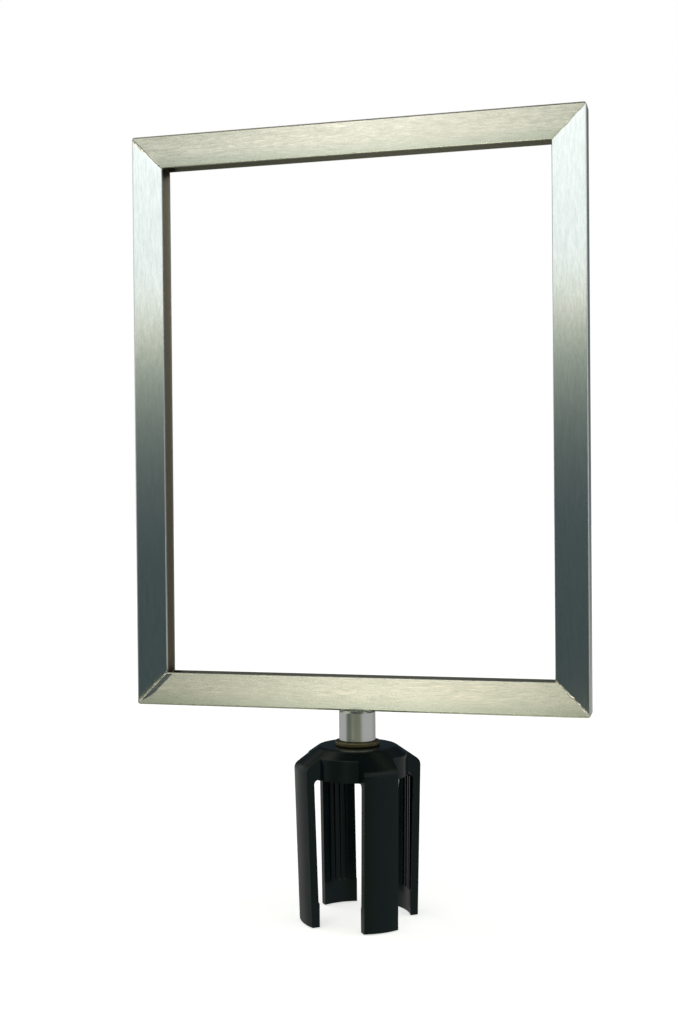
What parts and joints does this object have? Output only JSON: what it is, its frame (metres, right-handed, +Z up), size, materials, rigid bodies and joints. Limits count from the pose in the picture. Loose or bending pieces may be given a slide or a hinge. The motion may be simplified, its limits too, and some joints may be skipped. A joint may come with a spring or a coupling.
{
  "type": "post-top sign frame",
  "caption": "Rectangular mitred sign frame with a top loading slot, on a short swivelling stem in a four-legged push-on adapter for a round post head.",
  "frame": {"origin": "centre of the mouth between the adapter's leg tips, on the swivel axis and the post's axis", "axes": "+Z up along the post's axis; the sign faces -Y and +Y; +X to the right of someone who reads the -Y side"},
  "size_m": [0.242, 0.0624, 0.4139],
  "materials": {
    "brushed_frame": "brushed along each member, clear anodised",
    "turned_stem": "turned, satin",
    "bronze": "dark sintered bronze, oiled",
    "black_moulding": "moulded, semi-gloss",
    "plated_steel": "zinc plated",
    "black_steel": "black oxide",
    "washer_nylon": "natural nylon"
  },
  "bodies": {
    "adapter": {"adapter_body": "black_moulding", "swivel_bush": "bronze", "friction_washer": "washer_nylon"},
    "sign": {"stem": "turned_stem", "frame_top_rail": "brushed_frame", "frame_bottom_rail": "brushed_frame", "frame_left_stile": "brushed_frame", "frame_right_stile": "brushed_frame", "corner_key_top_left": "plated_steel", "corner_key_top_right": "plated_steel", "corner_key_bottom_left": "plated_steel", "corner_key_bottom_right": "plated_steel", "stem_clamp_bar": "plated_steel", "stem_screw": "black_steel", "stem_lock_washer": "black_steel", "pivot_screw": "black_steel", "retaining_washer": "plated_steel"}
  },
  "joints": [
    {"name": "sign_swivel", "type": "hinge", "parent": "adapter", "child": "sign", "pos_m": [0, 0, 0.0875], "axis": [0, 0, 1], "continuous": true}
  ]
}
